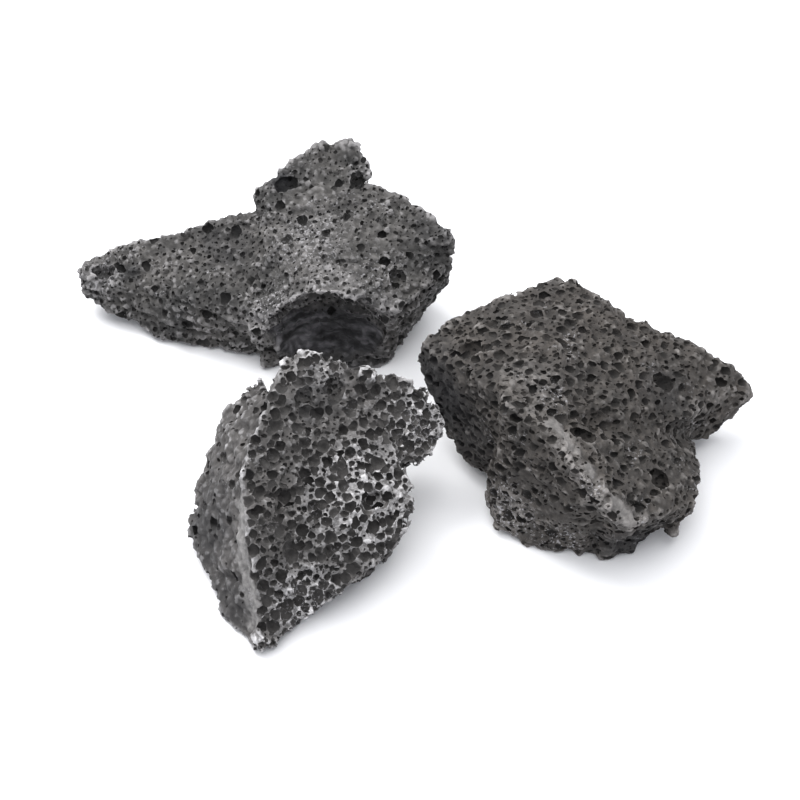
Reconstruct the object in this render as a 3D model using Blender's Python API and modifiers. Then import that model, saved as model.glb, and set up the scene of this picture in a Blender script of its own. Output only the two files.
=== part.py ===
"""Three rough stones of vesicular basalt, lying loose on a flat surface as one set.

Each stone is one natural piece: a few convex lumps grown together, roughened by
weathering, hollowed by spalls and pitted by its largest gas pockets. Its underside
is ground flat where it rests. Units are metres, +Z is up, and the origin is on the
floor at the middle of the set.
"""

import bmesh
import bpy
from mathutils import Matrix, Vector
from mathutils.bvhtree import BVHTree

MM = 0.001

# Overall sizes of the three stones: length along X, width along Y, height along Z.
LONG_LENGTH, LONG_WIDTH, LONG_HEIGHT = 96.5 * MM, 47.5 * MM, 39 * MM
PITTED_LENGTH, PITTED_WIDTH, PITTED_HEIGHT = 62.5 * MM, 62.5 * MM, 35.5 * MM
RIDGED_LENGTH, RIDGED_WIDTH, RIDGED_HEIGHT = 82 * MM, 60.5 * MM, 37.5 * MM

# How the stones lie: the middle of each footprint, and the least gap between two of
# them seen from above, so that each can be picked straight up.
LONG_SPOT = (-33.5 * MM, 40.8 * MM)
PITTED_SPOT = (-19.5 * MM, -33.5 * MM)
RIDGED_SPOT = (44.5 * MM, -12.2 * MM)
STONE_GAP = 1 * MM

# The broken surface.
GRAIN = 1.0 * MM  # the finest form that the solid keeps
SWELL_SIZE, SWELL_DEPTH = 13 * MM, 1.8 * MM  # broad swells of a fracture face
LUMP_SIZE, LUMP_DEPTH = 4.5 * MM, 1.2 * MM  # the knobbly bumps on it
WEAR_PASSES = 1  # rounds of smoothing that take off the sharpest edges
KEEP_SHARE = 0.14  # share of the fine triangles kept once the form is settled
REST_CUT = 0.8 * MM  # how much of the underside is worn flat
SMOOTHING = 0.5  # how far one round of smoothing moves a point
PATTERN_OCTAVES = 2  # layers of finer detail in the cloud patterns
BALL_SEGMENTS = 24  # facets round a spall's cutter
POCKET_SEGMENTS = 10  # facets round a gas pocket's cutter
BASALT_ROUGHNESS = 0.92
STEPS_PER_GAP = 4  # how finely a stone is slid outwards, in steps to one gap
ABOVE = 2  # a height share well clear of any stone's top

# Corners and centres below are shares of the stone's half length and half width from
# the middle of its footprint, and of its height above the floor.
LONG_LUMPS = {
    "tail": [
        (-1.01, 0.07, 0.29),
        (-0.96, 0.20, 0.36),
        (-0.99, 0.03, 0.16),
        (-0.86, 0.30, 0.39),
        (-0.86, 0.26, 0.10),
        (-0.90, -0.14, 0.20),
        (-0.78, 0.26, 0.44),
        (-0.54, 0.33, 0.52),
        (-0.28, 0.39, 0.62),
        (0.10, 0.44, 0.76),
        (-0.62, -0.12, 0.40),
        (-0.78, -0.26, 0.08),
        (-0.63, -0.43, 0.05),
        (-0.40, -0.56, 0.03),
        (-0.34, -0.57, 0.30),
        (-0.18, -0.68, 0.04),
        (0.06, -0.80, 0.48),
        (0.10, -0.70, 0.04),
        (-0.70, 0.18, 0.05),
        (0.10, 0.50, 0.05),
    ],
    "body": [
        (-0.05, 0.46, 0.77),
        (0.55, 0.54, 0.87),
        (0.66, 0.46, 0.85),
        (0.87, 0.20, 0.78),
        (0.97, 0.00, 0.69),
        (1.00, -0.11, 0.61),
        (0.96, -0.18, 0.43),
        (0.88, -0.16, 0.22),
        (0.61, -0.84, 0.00),
        (-0.02, -0.86, 0.00),
        (-0.08, -0.80, 0.34),
        (0.06, -0.85, 0.50),
        (0.18, -0.82, 0.64),
        (0.34, -0.80, 0.70),
        (0.50, -0.82, 0.67),
        (0.68, -0.88, 0.55),
        (0.72, 0.30, 0.00),
        (0.00, 0.48, 0.00),
    ],
    "peak": [
        (-0.09, 0.52, 0.74),
        (-0.03, 0.60, 0.81),
        (0.17, 0.90, 0.92),
        (0.44, 1.01, 1.00),
        (0.49, 0.90, 0.97),
        (0.55, 0.70, 0.89),
        (0.45, 0.30, 0.86),
        (0.05, 0.20, 0.80),
        (0.05, 0.40, 0.25),
        (0.45, 0.62, 0.20),
    ],
}
PITTED_LUMPS = {
    "slab": [
        (-0.23, 0.96, 0.94),
        (0.02, 0.98, 0.98),
        (0.32, 0.89, 0.90),
        (-0.30, 0.60, 0.92),
        (-0.46, 0.24, 0.87),
        (-0.53, 0.00, 0.81),
        (-0.51, -0.19, 0.75),
        (-0.46, -0.36, 0.67),
        (-0.42, -0.57, 0.52),
        (-0.37, -1.01, 0.06),
        (0.05, -0.70, 0.21),
        (0.28, -0.57, 0.27),
        (0.66, -0.24, 0.38),
        (0.77, -0.06, 0.47),
        (0.74, 0.17, 0.52),
        (-0.35, -0.90, 0.00),
        (0.12, -0.50, 0.00),
        (0.54, -0.12, 0.00),
        (0.50, 0.25, 0.00),
        (0.25, 0.70, 0.00),
        (-0.30, 0.75, 0.00),
    ],
    "cheek": [
        (-0.41, 0.94, 0.74),
        (-0.65, 0.84, 0.63),
        (-0.75, 0.77, 0.51),
        (-0.83, 0.54, 0.37),
        (-0.97, 0.19, 0.17),
        (-0.97, 0.05, 0.14),
        (-0.81, -0.30, 0.09),
        (-0.69, -0.64, 0.06),
        (-0.46, -0.92, 0.04),
        (-0.36, -1.00, 0.05),
        (-0.30, 0.60, 0.88),
        (-0.52, 0.00, 0.78),
        (-0.45, -0.40, 0.61),
        (-0.43, -0.75, 0.25),
        (-0.84, 0.10, 0.00),
        (-0.62, -0.60, 0.00),
        (-0.40, -0.90, 0.00),
        (-0.58, 0.65, 0.00),
        (-0.20, 0.70, 0.00),
    ],
    "lobe": [
        (0.28, 0.88, 0.89),
        (0.55, 0.95, 0.81),
        (0.84, 0.91, 0.71),
        (0.99, 0.63, 0.57),
        (0.84, 0.35, 0.50),
        (0.30, 0.40, 0.70),
        (0.30, 0.40, 0.20),
        (0.60, 0.80, 0.28),
        (0.78, 0.50, 0.30),
    ],
}
RIDGED_LUMPS = {
    "shoulder": [
        (-1.01, 0.54, 0.59),
        (-0.97, 0.56, 0.71),
        (-0.80, 0.74, 0.82),
        (-0.49, 0.87, 0.93),
        (-0.25, 0.99, 0.96),
        (-0.10, 0.99, 0.98),
        (0.09, 0.87, 0.92),
        (0.17, 0.76, 0.87),
        (-0.52, -0.23, 0.96),
        (-0.27, -0.44, 0.93),
        (0.30, 0.10, 0.74),
        (-0.88, 0.39, 0.32),
        (-0.84, 0.19, 0.22),
        (-0.67, -0.08, 0.14),
        (-0.50, -0.10, 0.00),
        (0.20, -0.20, 0.00),
        (0.25, 0.50, 0.00),
        (-0.55, 0.55, 0.00),
    ],
    "front": [
        (-0.54, -0.23, 0.97),
        (-0.27, -0.45, 0.95),
        (-0.12, -0.78, 0.81),
        (-0.02, -0.91, 0.71),
        (-0.60, -0.36, 0.14),
        (-0.56, -0.58, 0.08),
        (-0.36, -0.75, 0.03),
        (-0.04, -0.84, 0.03),
        (0.24, -0.30, 0.66),
        (-0.40, -0.60, 0.00),
        (0.00, -0.78, 0.00),
        (0.20, 0.00, 0.00),
        (-0.40, 0.00, 0.00),
    ],
    "wing": [
        (0.10, 0.82, 0.90),
        (0.27, 0.65, 0.81),
        (0.51, 0.63, 0.73),
        (0.67, 0.61, 0.67),
        (0.88, 0.60, 0.46),
        (0.95, 0.53, 0.46),
        (0.99, 0.48, 0.38),
        (0.93, 0.42, 0.24),
        (0.86, 0.56, 0.24),
        (0.74, 0.24, 0.12),
        (0.83, 0.31, 0.45),
        (0.64, 0.12, 0.51),
        (0.39, -0.14, 0.58),
        (-0.10, -0.20, 0.88),
        (0.04, -0.24, 0.81),
        (0.00, 0.40, 0.91),
        (0.60, 0.35, 0.00),
        (0.15, 0.20, 0.00),
    ],
    "toe": [
        (-0.20, -0.61, 0.84),
        (-0.12, -0.78, 0.79),
        (-0.02, -0.92, 0.69),
        (0.11, -1.01, 0.57),
        (0.21, -0.98, 0.50),
        (0.31, -0.85, 0.49),
        (0.57, -0.63, 0.35),
        (0.62, -0.42, 0.36),
        (0.64, -0.19, 0.30),
        (0.62, 0.14, 0.24),
        (0.30, 0.02, 0.66),
        (0.44, -0.16, 0.50),
        (0.20, -0.37, 0.63),
        (0.54, -0.62, 0.20),
        (0.38, -0.68, 0.10),
        (0.08, -0.84, 0.00),
        (0.42, -0.50, 0.00),
        (0.50, 0.10, 0.00),
    ],
}

# Knobs are small round lumps that stand out of the skin: centre in shares, radius in mm.
LONG_KNOBS = [
    ((-0.91, 0.09, 0.28), 4.8),
    ((0.42, 0.90, 0.93), 3.4),
    ((0.28, 0.90, 0.90), 3.2),
    ((0.90, 0.00, 0.66), 4.2),
]
PITTED_KNOBS = [
    ((-0.07, 0.90, 0.92), 3.0),
    ((0.36, 0.82, 0.86), 3.0),
    ((0.84, 0.74, 0.55), 3.6),
    ((-0.36, -0.90, 0.12), 3.2),
]
RIDGED_KNOBS = [
    ((0.45, -0.66, 0.14), 2.6),
    ((0.20, -0.78, 0.08), 2.8),
    ((0.08, -0.80, 0.08), 3.2),
    ((0.89, 0.45, 0.36), 4.0),
    ((-0.16, 0.88, 0.88), 4.4),
]

# Spalls are broad hollows where a flake broke away: centre in shares, half axes in mm.
LONG_SPALLS = [
    ((0.32, -1.02, 0.38), (15.5, 12, 13.5)),
    ((-0.42, -0.92, 0.12), (17, 6, 7)),
]
PITTED_SPALLS = [((0.98, 0.12, 0.06), (8, 7, 8))]
RIDGED_SPALLS = [
    ((0.88, 0.00, 0.10), (7, 4, 7)),
    ((0.24, -1.14, 0.13), (9, 7, 4.6)),
    ((0.74, -0.06, 0.46), (10, 3, 4)),
]

# Gas pockets are the largest bubbles that a fracture laid open: the place seen from
# above in shares, half axes in mm. Each is centred on the skin, so it always opens.
LONG_POCKETS = [
    ((0.10, 0.54), (3.0, 2.4, 2.8)),
    ((0.48, 0.55), (2.2, 2.0, 2.6)),
    ((-0.86, 0.03), (3.0, 1.9, 2.4)),
    ((0.69, -0.54), (1.9, 2.2, 2.4)),
]
PITTED_POCKETS = [
    ((0.15, 0.70), (2.2, 2.2, 2.6)),
    ((-0.06, 0.62), (1.9, 1.9, 2.4)),
    ((-0.19, -0.14), (2.2, 1.9, 2.4)),
    ((0.43, -0.05), (1.9, 1.9, 2.4)),
]
RIDGED_POCKETS = [
    ((-0.08, -0.42), (3.4, 1.7, 2.8)),
    ((-0.70, 0.36), (3.2, 2.4, 2.4)),
    ((0.42, 0.21), (3.4, 2.0, 2.4)),
    ((0.36, -0.55), (2.2, 2.2, 2.6)),
]


def empty_scene():
    for obj in list(bpy.data.objects):
        bpy.data.objects.remove(obj, do_unlink=True)


def new_collection(name):
    collection = bpy.data.collections.new(name)
    bpy.context.scene.collection.children.link(collection)
    return collection


def rock_material(name, colour):
    material = bpy.data.materials.new(name)
    material.use_nodes = True
    shader = material.node_tree.nodes["Principled BSDF"]
    shader.inputs["Base Color"].default_value = (*colour, 1)
    shader.inputs["Roughness"].default_value = BASALT_ROUGHNESS
    shader.inputs["Metallic"].default_value = 0
    return material


def at_share(share, size):
    """A place given in shares of the stone's size, in metres from its footprint's middle."""
    length, width, height = size
    return Vector((share[0] * length / 2, share[1] * width / 2, share[2] * height))


def lumps_mesh(name, lumps, knobs, size):
    """One mesh that holds the convex hull of each lump's corners, and each knob's ball."""
    mesh = bpy.data.meshes.new(name)
    whole = bmesh.new()
    for corners in lumps.values():
        verts = [whole.verts.new(at_share(corner, size)) for corner in corners]
        hull = bmesh.ops.convex_hull(whole, input=verts, use_existing_faces=False)
        inner = {v for v in hull["geom_interior"] if isinstance(v, bmesh.types.BMVert)}
        bmesh.ops.delete(whole, geom=list(inner), context="VERTS")
    bmesh.ops.recalc_face_normals(whole, faces=whole.faces)
    for share, radius in knobs:
        place = Matrix.Translation(at_share(share, size))
        bmesh.ops.create_icosphere(whole, subdivisions=2, radius=radius * MM, matrix=place)
    whole.to_mesh(mesh)
    whole.free()
    return mesh


def add_remesh(stone, name):
    """Gives the stone one even skin, around lumps that overlap or a cut just made."""
    remesh = stone.modifiers.new(name, "REMESH")
    remesh.mode = "VOXEL"
    remesh.voxel_size = GRAIN
    remesh.use_smooth_shade = False


def add_wear(stone):
    """Takes the knife edges off the lumps, as tumbling and handling do."""
    wear = stone.modifiers.new("wear", "SMOOTH")
    wear.factor = SMOOTHING
    wear.iterations = WEAR_PASSES


def add_roughness(stone, size, depth, offset):
    """Pushes the skin in and out by a cloud pattern that is read at the stone's own offset."""
    pattern = bpy.data.textures.new(f"{stone.name}_clouds", "CLOUDS")
    pattern.noise_scale = size
    pattern.noise_depth = PATTERN_OCTAVES
    displace = stone.modifiers.new("roughen", "DISPLACE")
    displace.texture = pattern
    displace.texture_coords = "OBJECT"
    displace.texture_coords_object = offset
    displace.strength = depth
    displace.mid_level = 0.5  # as far in as out


def ellipsoid(name, centre, half_axes, segments, cutters):
    mesh = bpy.data.meshes.new(name)
    ball = bmesh.new()
    bmesh.ops.create_uvsphere(
        ball, u_segments=segments, v_segments=segments // 2 + 1, radius=1
    )
    bmesh.ops.scale(ball, vec=[axis * MM for axis in half_axes], verts=ball.verts)
    bmesh.ops.translate(ball, vec=centre, verts=ball.verts)
    ball.to_mesh(mesh)
    ball.free()
    return new_cutter(name, mesh, cutters)


def floor_block(name, size, cutters):
    """The block that takes away whatever would reach below the worn underside."""
    mesh = bpy.data.meshes.new(name)
    block = bmesh.new()
    side = 2 * max(size)
    bmesh.ops.create_cube(block, size=side)
    bmesh.ops.translate(block, vec=(0, 0, REST_CUT - side / 2), verts=block.verts)
    block.to_mesh(mesh)
    block.free()
    return new_cutter(name, mesh, cutters)


def new_cutter(name, mesh, cutters):
    cutter = bpy.data.objects.new(name, mesh)
    cutter.hide_render = True
    cutter.display_type = "WIRE"
    cutters.objects.link(cutter)
    return cutter


def add_cut(stone, cutter):
    cut = stone.modifiers.new(cutter.name, "BOOLEAN")
    cut.operation = "DIFFERENCE"
    cut.object = cutter
    cutter.parent = stone


def skin_tree(stone):
    """The stone's skin as it is so far, for finding places on it."""
    bpy.context.view_layer.update()
    return BVHTree.FromObject(stone, bpy.context.evaluated_depsgraph_get())


def skin_below(skin, share, size):
    """The highest point of the skin at a place seen from above."""
    above = at_share((*share, ABOVE), size)
    return skin.ray_cast(above, Vector((0, 0, -1)))[0]


def make_stone(
    name, size, lumps, knobs, spalls, pockets, colour, noise_from, parts, cutters
):
    stone = bpy.data.objects.new(name, lumps_mesh(name, lumps, knobs, size))
    parts.objects.link(stone)
    stone.data.materials.append(rock_material(f"{name}_basalt", colour))
    add_remesh(stone, "grow_together")
    add_wear(stone)
    for index, (share, half_axes) in enumerate(spalls):
        centre = at_share(share, size)
        add_cut(
            stone,
            ellipsoid(f"{name}_spall_{index}", centre, half_axes, BALL_SEGMENTS, cutters),
        )
    add_remesh(stone, "even_out")
    offset = bpy.data.objects.new(f"{name}_noise_origin", None)
    offset.location = noise_from
    offset.parent = stone
    parts.objects.link(offset)
    add_roughness(stone, SWELL_SIZE, SWELL_DEPTH, offset)
    add_roughness(stone, LUMP_SIZE, LUMP_DEPTH, offset)
    thin = stone.modifiers.new("settle", "DECIMATE")
    thin.ratio = KEEP_SHARE
    skin = skin_tree(stone)
    for index, (share, half_axes) in enumerate(pockets):
        centre = skin_below(skin, share, size)
        add_cut(
            stone,
            ellipsoid(
                f"{name}_pocket_{index}", centre, half_axes, POCKET_SEGMENTS, cutters
            ),
        )
    add_cut(stone, floor_block(f"{name}_floor", size, cutters))
    return stone


def surface_of(stone):
    """The finished surface in world space, as points and faces."""
    bpy.context.view_layer.update()
    shaped = stone.evaluated_get(bpy.context.evaluated_depsgraph_get())
    mesh = shaped.to_mesh()
    points = [shaped.matrix_world @ vertex.co for vertex in mesh.vertices]
    faces = [tuple(face.vertices) for face in mesh.polygons]
    shaped.to_mesh_clear()
    return points, faces


def footprint_tree(points, faces):
    """The stone's shadow on the floor under a lamp straight above, for measuring gaps."""
    return BVHTree.FromPolygons([(p.x, p.y, 0) for p in points], faces)


def lay_down(stone, spot, neighbours):
    """Puts the stone on the floor at its spot, and slides it outwards while it is too near."""
    stone.location = (*spot, -REST_CUT)
    points, faces = surface_of(stone)
    outwards = Vector((*spot, 0)).normalized()
    step = STONE_GAP / STEPS_PER_GAP
    shift = Vector((0, 0, 0))
    while any(too_near(points, shift, tree) for tree in neighbours):
        shift += outwards * step
    stone.location += shift
    moved = [point + shift for point in points]
    neighbours.append(footprint_tree(moved, faces))


def too_near(points, shift, tree):
    return any(
        tree.find_nearest((p.x + shift.x, p.y + shift.y, 0), STONE_GAP)[0] is not None
        for p in points
    )


def centre_set(stones):
    """Moves the set so that the middle of its outline is over the origin."""
    corners = [point for stone in stones for point in surface_of(stone)[0]]
    middle = Vector(
        (
            (min(p.x for p in corners) + max(p.x for p in corners)) / 2,
            (min(p.y for p in corners) + max(p.y for p in corners)) / 2,
            min(p.z for p in corners),
        )
    )
    for stone in stones:
        stone.location -= middle


def build():
    empty_scene()
    parts = new_collection("basalt_stone_set")
    cutters = new_collection("cutters")
    long_stone = make_stone(
        "long_stone",
        (LONG_LENGTH, LONG_WIDTH, LONG_HEIGHT),
        LONG_LUMPS,
        LONG_KNOBS,
        LONG_SPALLS,
        LONG_POCKETS,
        (0.125, 0.117, 0.114),
        (0.31, 0.07, 0.02),
        parts,
        cutters,
    )
    pitted_stone = make_stone(
        "pitted_stone",
        (PITTED_LENGTH, PITTED_WIDTH, PITTED_HEIGHT),
        PITTED_LUMPS,
        PITTED_KNOBS,
        PITTED_SPALLS,
        PITTED_POCKETS,
        (0.115, 0.110, 0.108),
        (0.11, 0.23, 0.05),
        parts,
        cutters,
    )
    ridged_stone = make_stone(
        "ridged_stone",
        (RIDGED_LENGTH, RIDGED_WIDTH, RIDGED_HEIGHT),
        RIDGED_LUMPS,
        RIDGED_KNOBS,
        RIDGED_SPALLS,
        RIDGED_POCKETS,
        (0.105, 0.096, 0.092),
        (0.05, 0.41, 0.13),
        parts,
        cutters,
    )
    laid = []
    lay_down(long_stone, LONG_SPOT, laid)
    lay_down(pitted_stone, PITTED_SPOT, laid)
    lay_down(ridged_stone, RIDGED_SPOT, laid)
    centre_set([long_stone, pitted_stone, ridged_stone])


build()
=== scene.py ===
# %% [markdown]
# # Three rough stones of vesicular basalt
#
# Vesicular basalt is lava that froze while gas was still bubbling out of it. A broken lump
# shows those bubbles as open pits: some round as a honeycomb, some drawn out by the flow.
# This lesson takes the plain solids of three such stones and gives each the skin of the real
# rock. The solids come from the frame, which also fixes the size and the place of everything.

# %% The frame
import math

import bmesh
import bpy
import numpy as np
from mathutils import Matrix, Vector


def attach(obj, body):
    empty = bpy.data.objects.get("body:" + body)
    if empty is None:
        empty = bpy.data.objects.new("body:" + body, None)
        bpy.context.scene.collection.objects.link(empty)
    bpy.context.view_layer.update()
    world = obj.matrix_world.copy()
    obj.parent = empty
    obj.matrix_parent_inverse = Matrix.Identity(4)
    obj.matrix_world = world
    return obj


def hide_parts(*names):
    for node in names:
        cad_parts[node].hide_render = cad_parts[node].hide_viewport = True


MM = 0.001
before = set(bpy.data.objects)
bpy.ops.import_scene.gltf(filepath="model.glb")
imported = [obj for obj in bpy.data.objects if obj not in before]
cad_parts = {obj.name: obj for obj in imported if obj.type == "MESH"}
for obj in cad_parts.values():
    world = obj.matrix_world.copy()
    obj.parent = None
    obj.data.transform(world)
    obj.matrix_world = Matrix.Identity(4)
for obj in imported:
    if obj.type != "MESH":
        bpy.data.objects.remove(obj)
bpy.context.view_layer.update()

# %% [markdown]
# ## A shorthand for nodes
#
# Geometry Nodes and materials are both trees of nodes, and both are built here in code. One
# helper adds a node, sets its settings, and fills its sockets: a value becomes the socket's
# own value, and another node's output becomes a link. With it a tree reads from top to bottom.


# %% Adding a node
def put(tree, kind, sockets=None, **settings):
    """Adds a node. sockets maps an input's name or index to a value or to an output."""
    node = tree.nodes.new(kind)
    for name, value in settings.items():
        setattr(node, name, value)
    for key, value in (sockets or {}).items():
        if isinstance(value, bpy.types.NodeSocket):
            tree.links.new(value, node.inputs[key])
        else:
            node.inputs[key].default_value = value
    return node


def calculate(tree, operation, first, second=0.0):
    sockets = {0: first, 1: second}
    return put(tree, "ShaderNodeMath", sockets, operation=operation).outputs[0]


def scale_vector(tree, vector, factor):
    sockets = {0: vector, "Scale": factor}
    return put(tree, "ShaderNodeVectorMath", sockets, operation="SCALE").outputs[0]


def add_vectors(tree, first, second):
    return put(tree, "ShaderNodeVectorMath", {0: first, 1: second}, operation="ADD").outputs[0]


def new_tree(name, inputs):
    """An empty Geometry Nodes tree: geometry in and out, and named inputs with their defaults."""
    tree = bpy.data.node_groups.new(name, "GeometryNodeTree")
    tree.interface.new_socket("Geometry", in_out="OUTPUT", socket_type="NodeSocketGeometry")
    tree.interface.new_socket("Geometry", in_out="INPUT", socket_type="NodeSocketGeometry")
    for label, (kind, default) in inputs.items():
        socket = tree.interface.new_socket(label, in_out="INPUT", socket_type=f"NodeSocket{kind}")
        if default is not None:
            socket.default_value = default
    return tree


print("a millimetre is", MM, "of Blender's units")

# %% [markdown]
# ## One layer of bubbles
#
# Bubbles in lava come in sizes that keep their distance, because each one pushes the melt
# away. Scattering points with a Poisson disk gives just that spacing. A later, finer layer
# must not sit where a larger bubble already is, so it looks up the nearest larger bubble and
# drops out if it would lie inside it. Each point keeps its radius as an attribute. Its ball
# is sunk below the skin or raised above it by a share of that radius, so that some bubbles
# are open bowls and others are deeper, with a narrower mouth.

# %% The bubble layer group
MOST_PER_SQUARE_METRE = 3e6
SUNK_MOST, RAISED_MOST = -0.5, 0.2
SINK_SEED = 7


def make_layer_group():
    tree = new_tree(
        "bubble_layer",
        {
            "Taken": ("Geometry", None),
            "Spacing": ("Float", 2 * MM),
            "Least radius": ("Float", 0.5 * MM),
            "Most radius": ("Float", 1 * MM),
            "Share": ("Float", 1.0),
            "Seed": ("Int", 0),
        },
    )
    given = put(tree, "NodeGroupInput").outputs
    scatter = put(
        tree,
        "GeometryNodeDistributePointsOnFaces",
        {
            "Mesh": given["Geometry"],
            "Distance Min": given["Spacing"],
            "Density Max": MOST_PER_SQUARE_METRE,
            "Density Factor": given["Share"],
            "Seed": given["Seed"],
        },
        distribute_method="POISSON",
    )
    size = put(
        tree,
        "FunctionNodeRandomValue",
        {2: given["Least radius"], 3: given["Most radius"], "Seed": given["Seed"]},
    ).outputs[1]
    sockets = {2: SUNK_MOST, 3: RAISED_MOST, "Seed": SINK_SEED}
    sink = put(tree, "FunctionNodeRandomValue", sockets).outputs[1]
    depth = calculate(tree, "MULTIPLY", sink, size)
    placed = put(
        tree,
        "GeometryNodeSetPosition",
        {
            "Geometry": scatter.outputs["Points"],
            "Offset": scale_vector(tree, scatter.outputs["Normal"], depth),
        },
    ).outputs[0]
    sized = put(
        tree,
        "GeometryNodeStoreNamedAttribute",
        {"Geometry": placed, "Name": "radius", "Value": size},
        domain="POINT",
    ).outputs[0]
    radius = put(tree, "GeometryNodeInputNamedAttribute", {"Name": "radius"}).outputs[0]
    nearest = put(tree, "GeometryNodeSampleNearest", {"Geometry": given["Taken"]}).outputs[0]
    big_radius = put(
        tree,
        "GeometryNodeSampleIndex",
        {"Geometry": given["Taken"], "Value": radius, "Index": nearest},
    ).outputs[0]
    here = put(tree, "GeometryNodeInputPosition").outputs[0]
    big_centre = put(
        tree,
        "GeometryNodeSampleIndex",
        {"Geometry": given["Taken"], "Value": here, "Index": nearest},
        data_type="FLOAT_VECTOR",
    ).outputs[0]
    away = put(tree, "ShaderNodeVectorMath", {0: here, 1: big_centre}, operation="DISTANCE")
    inside = calculate(tree, "LESS_THAN", away.outputs["Value"], big_radius)
    count = put(
        tree,
        "GeometryNodeAttributeDomainSize",
        {"Geometry": given["Taken"]},
        component="POINTCLOUD",
    ).outputs["Point Count"]
    some = calculate(tree, "GREATER_THAN", count, 0.5)
    kept = put(
        tree,
        "GeometryNodeDeleteGeometry",
        {"Geometry": sized, "Selection": calculate(tree, "MULTIPLY", inside, some)},
        domain="POINT",
    ).outputs[0]
    put(tree, "NodeGroupOutput", {0: kept})
    return tree


layer_group = make_layer_group()
print("bubble layer group:", len(layer_group.nodes), "nodes")

# %% [markdown]
# ## The rock tree and its inputs
#
# All three stones are the same rock, broken in different ways, so one Geometry Nodes tree
# makes them all and its inputs say how they differ: how rough the skin is, how large and how
# close the bubbles of each layer are, and where the bubbles stay away. The quiet share and the
# calm share are how many bubbles are left on the quiet side and where the froth is calm. The
# band relief is how much of the roughness is left on the band. Each stone sets only the inputs
# in which it differs from the values given here.

# %% The rock tree's inputs
ROCK_INPUTS = {
    "Bump size": ("Float", 5 * MM),
    "Bump height": ("Float", 1.8 * MM),
    "Bead size": ("Float", 1.9 * MM),
    "Bead height": ("Float", 1.0 * MM),
    "Ledge height": ("Float", 1.2 * MM),
    "Warp": ("Float", 1.2 * MM),
    "Big spacing": ("Float", 2.4 * MM),
    "Big least": ("Float", 0.9 * MM),
    "Big most": ("Float", 1.4 * MM),
    "Middle spacing": ("Float", 1.4 * MM),
    "Middle least": ("Float", 0.4 * MM),
    "Middle most": ("Float", 0.8 * MM),
    "Small spacing": ("Float", 1.2 * MM),
    "Small least": ("Float", 0.22 * MM),
    "Small most": ("Float", 0.4 * MM),
    "Stretch": ("Vector", (1, 1, 1)),
    "Quiet side": ("Vector", (0, 0, -1)),
    "Quiet from": ("Float", 0.5),
    "Quiet share": ("Float", 0.1),
    "Calm share": ("Float", 0.35),
    "Edge lift": ("Float", 0.7),
    "Inset": ("Float", 0.4 * MM),
    "Band start": ("Vector", (0, 0, 0)),
    "Band end": ("Vector", (0, 0, 0)),
    "Band reach": ("Float", 3 * MM),
    "Band relief": ("Float", 0.4),
    "Seed": ("Int", 1),
    "Material": ("Material", None),
}
print("the rock tree has", len(ROCK_INPUTS), "inputs")

# %% [markdown]
# ## Patterns that roughen the rock
#
# Broken rock could be sculpted by hand, but a pattern covers a whole stone evenly and can be
# made again at any size. Two are enough. A cloud of noise, moved down so that it runs around
# zero, pushes the skin in and out alike. A Voronoi pattern gives round beads with creases
# between them, as the broken walls of bubbles have.

# %% Patterns
BEAD_RISE = 0.45


def noise_around_zero(tree, position, scale, detail, seed):
    texture = put(
        tree,
        "ShaderNodeTexNoise",
        {"Vector": position, "Scale": scale, "Detail": detail, "Roughness": 0.55, "W": seed},
        noise_dimensions="4D",
    )
    return calculate(tree, "SUBTRACT", texture.outputs[0], 0.5)


def beads_on(tree, position, size, seed):
    """Round grains side by side: highest in the middle of each cell, with a crease between."""
    sockets = {"Vector": position, "Scale": calculate(tree, "DIVIDE", 1.0, size), "W": seed}
    cells = put(tree, "ShaderNodeTexVoronoi", sockets, voronoi_dimensions="4D")
    return calculate(tree, "SUBTRACT", BEAD_RISE, cells.outputs["Distance"])


print("a bead rises", BEAD_RISE, "of its height above the skin, and its creases go below it")

# %% [markdown]
# ## Measures inside the tree
#
# Wear sits on edges, and dust and a painted highlight on rims, while creases get painted shade,
# so the tree has to find them. A point that stands out from the blurred positions around it
# lies on one: with many rounds of blur on an edge of the stone, with few on the rim of a
# bubble. What is measured is stored as a named attribute, so that later nodes and the
# material can read it.

# %% Measures
EDGE_BLUR = 40
RIM_BLUR = 4


def average_nearby(tree, vector, rounds):
    sockets = {"Value": vector, "Iterations": rounds, "Weight": 1.0}
    blur = put(tree, "GeometryNodeBlurAttribute", sockets, data_type="FLOAT_VECTOR")
    return blur.outputs[0]


def dot_product(tree, first, second):
    sockets = {0: first, 1: second}
    node = put(tree, "ShaderNodeVectorMath", sockets, operation="DOT_PRODUCT")
    return node.outputs["Value"]


def bulge(tree, here, outward, rounds):
    """How far a point stands out from the average of its neighbourhood."""
    sockets = {0: here, 1: average_nearby(tree, here, rounds)}
    shift = put(tree, "ShaderNodeVectorMath", sockets, operation="SUBTRACT").outputs[0]
    return dot_product(tree, shift, outward)


def store(tree, geometry, name, value, kind="FLOAT"):
    sockets = {"Geometry": geometry, "Name": name, "Value": value}
    return put(tree, "GeometryNodeStoreNamedAttribute", sockets, data_type=kind).outputs[0]


def named(tree, name, kind="FLOAT"):
    sockets = {"Name": name}
    return put(tree, "GeometryNodeInputNamedAttribute", sockets, data_type=kind).outputs[0]


def offset_by(tree, geometry, offset):
    sockets = {"Geometry": geometry, "Offset": offset}
    return put(tree, "GeometryNodeSetPosition", sockets).outputs[0]


print("edges are found over", EDGE_BLUR, "rounds of blur, and rims over", RIM_BLUR)

# %% [markdown]
# ## The band that the bubbles left alone
#
# Each stone has a strip of skin without bubbles: the smooth corner of the pitted stone, the
# rubbed ridge of the ridged one, and the layered scoop of the long one. The strip is every
# point within reach of a straight line. Noise is added to the distance, because a clean edge
# to the strip would look drawn on.

# %% The smooth band
BAND_RAGGEDNESS = 5 * MM
BAND_NOISE_SCALE = 260.0
BAND_CORE = 0.7


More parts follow.
